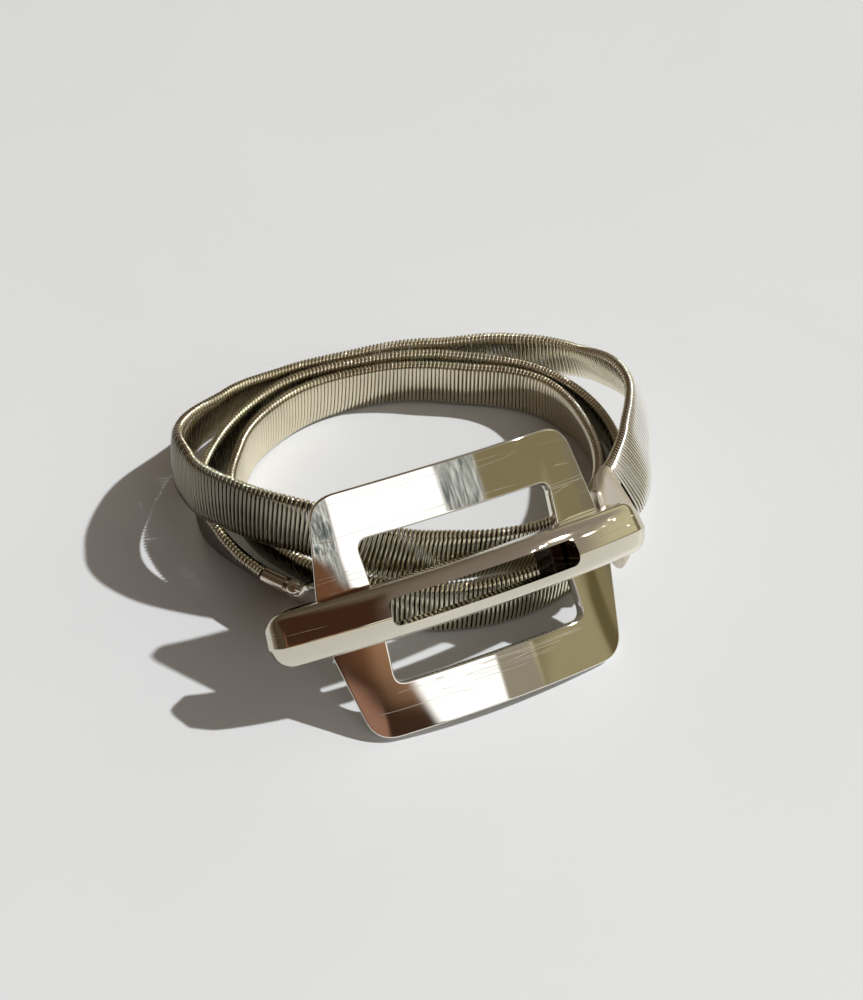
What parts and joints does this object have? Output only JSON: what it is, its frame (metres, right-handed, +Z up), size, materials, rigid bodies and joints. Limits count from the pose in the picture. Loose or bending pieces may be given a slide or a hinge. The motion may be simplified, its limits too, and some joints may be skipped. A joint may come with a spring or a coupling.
{
  "type": "elastic belt of flattened wire coil with an interlocking buckle",
  "caption": "Elastic belt: a flattened metal coil band wound in turns on edge, closed by a bowed open frame with a slotted bar across it.",
  "frame": {"origin": "middle of the belt's footprint, on the surface that it lies on", "axes": "+Z up; -Y towards the buckle's front, +X to the right of someone who faces the buckle"},
  "size_m": [0.0884, 0.0934, 0.0324],
  "materials": {
    "coil_wire": "bright nickel-plated spring wire, ribbed by its turns",
    "frame_chrome": "mirror-polished plate with fine scratches",
    "bar_chrome": "mirror-polished, lightly worn",
    "cap_metal": "polished, slightly warm",
    "tongue_chrome": "mirror-polished"
  },
  "bodies": {
    "root": {"coil_band": "coil_wire", "end_cap_right": "cap_metal", "end_cap_left": "cap_metal", "hinge_tongue": "tongue_chrome", "frame_plate": "frame_chrome", "slotted_bar": "bar_chrome"}
  },
  "joints": []
}
